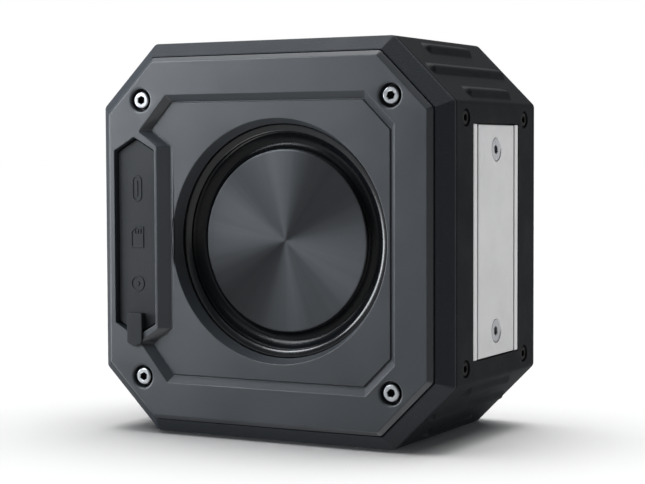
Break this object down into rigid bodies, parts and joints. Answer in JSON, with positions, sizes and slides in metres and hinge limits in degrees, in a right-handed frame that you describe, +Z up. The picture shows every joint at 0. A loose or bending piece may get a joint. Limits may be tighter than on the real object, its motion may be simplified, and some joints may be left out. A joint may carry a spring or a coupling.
{
  "type": "portable bluetooth speaker",
  "caption": "Octagonal rubber-clad portable Bluetooth speaker with rear passive radiator, covered ports, top buttons and a side magnet",
  "frame": {"origin": "on the floor under the centre of the case", "axes": "+Z up; +X towards the magnet side; -Y out of the rear face with the passive radiator and ports; +Y out of the grille"},
  "size_m": [0.1, 0.0621, 0.1],
  "materials": {
    "shell": "moulded ABS, fine texture",
    "sleeve": "soft-touch silicone rubber, fine matt texture",
    "bumper": "matt rubber edge",
    "panel": "grey moulded plastic, fine satin grain",
    "baffle": "dark moulded plastic",
    "gasket": "closed-cell foam",
    "grille": "powder-coated perforated steel",
    "screw": "bright zinc plated steel",
    "dark_screw": "black oxide steel",
    "plate_screw": "satin stainless steel",
    "brass": "knurled brass",
    "trim": "gloss black ring",
    "frame": "black moulded plastic",
    "surround": "glossy butyl rubber",
    "disc": "dark anodised, circular brushed",
    "carrier": "black plastic",
    "weight": "plain steel",
    "basket": "black stamped steel",
    "cone": "dark pressed paper",
    "cap": "dark dome",
    "coil": "copper wire on a former",
    "spider": "impregnated cotton",
    "ferrite": "sintered ferrite",
    "yoke": "zinc plated steel",
    "board": "green solder mask",
    "connector": "nickel plated shell",
    "jack": "black moulded plastic",
    "chip": "moulded components",
    "shield": "tinned shield",
    "switch": "black switches",
    "cell": "blue shrink wrap",
    "holder": "black plastic",
    "wire": "insulated wire",
    "cover": "matt rubber",
    "button": "matt rubber key",
    "channel": "nickel plated steel",
    "magnet": "nickel plated magnet"
  },
  "bodies": {
    "root": {"housing_shell": "shell", "side_sleeve": "sleeve", "rear_bumper": "bumper", "front_bumper": "bumper", "rear_panel": "panel", "front_baffle": "baffle", "rear_gasket": "gasket", "front_gasket": "gasket", "front_grille": "grille", "rear_screws": "screw", "front_screws": "dark_screw", "screw_inserts": "brass", "radiator_trim_ring": "trim", "radiator_frame": "frame", "radiator_gasket": "gasket", "radiator_surround": "surround", "radiator_screws": "dark_screw", "driver_basket": "basket", "driver_gasket": "gasket", "driver_screws": "dark_screw", "driver_surround": "surround", "driver_spider": "spider", "driver_top_plate": "yoke", "driver_magnet": "ferrite", "driver_yoke": "yoke", "port_cover_anchor": "cover", "port_cover_hinge": "cover", "usb_c_port": "connector", "card_socket": "connector", "line_in_jack": "jack", "main_board": "board", "board_screws": "plate_screw", "bluetooth_module": "shield", "board_components": "chip", "button_board": "board", "button_board_screws": "plate_screw", "tact_switches": "switch", "microphone": "shield", "battery_cell": "cell", "battery_holder": "holder", "battery_strap": "holder", "speaker_leads": "wire", "battery_leads": "wire", "magnet_channel": "channel", "magnet_bar": "magnet", "magnet_screws": "plate_screw", "magnet_inserts": "brass", "side_screws": "dark_screw"},
    "radiator": {"radiator_disc": "disc", "radiator_carrier": "carrier", "radiator_weight": "weight"},
    "driver_cone": {"driver_cone": "cone", "driver_dust_cap": "cap", "driver_voice_coil": "coil"},
    "port_cover": {"port_cover": "cover"},
    "power_button": {"power_button": "button"},
    "volume_down_button": {"volume_down_button": "button"},
    "play_button": {"play_button": "button"},
    "volume_up_button": {"volume_up_button": "button"}
  },
  "joints": [
    {"name": "radiator_stroke", "type": "slide", "parent": "root", "child": "radiator", "axis": [0, -1, 0], "range_m": [-0.0025, 0.0025], "stiffness_N_per_m": 600, "deforming": ["radiator_surround"]},
    {"name": "cone_stroke", "type": "slide", "parent": "root", "child": "driver_cone", "axis": [0, 1, 0], "range_m": [-0.0015, 0.0015], "stiffness_N_per_m": 1200, "deforming": ["driver_surround", "driver_spider"]},
    {"name": "port_cover_hinge", "type": "hinge", "parent": "root", "child": "port_cover", "pos_m": [-0.03755, -0.0296, 0.07045], "axis": [-1, 0, 0], "range_deg": [0, 115], "deforming": ["port_cover_hinge"]},
    {"name": "power_press", "type": "slide", "parent": "root", "child": "power_button", "axis": [0, 0, -1], "range_m": [0, 0.0005], "stiffness_N_per_m": 2500, "springref_m": -0.0001},
    {"name": "volume_down_press", "type": "slide", "parent": "root", "child": "volume_down_button", "axis": [0, 0, -1], "range_m": [0, 0.0005], "stiffness_N_per_m": 2500, "springref_m": -0.0001},
    {"name": "play_press", "type": "slide", "parent": "root", "child": "play_button", "axis": [0, 0, -1], "range_m": [0, 0.0005], "stiffness_N_per_m": 2500, "springref_m": -0.0001},
    {"name": "volume_up_press", "type": "slide", "parent": "root", "child": "volume_up_button", "axis": [0, 0, -1], "range_m": [0, 0.0005], "stiffness_N_per_m": 2500, "springref_m": -0.0001}
  ]
}
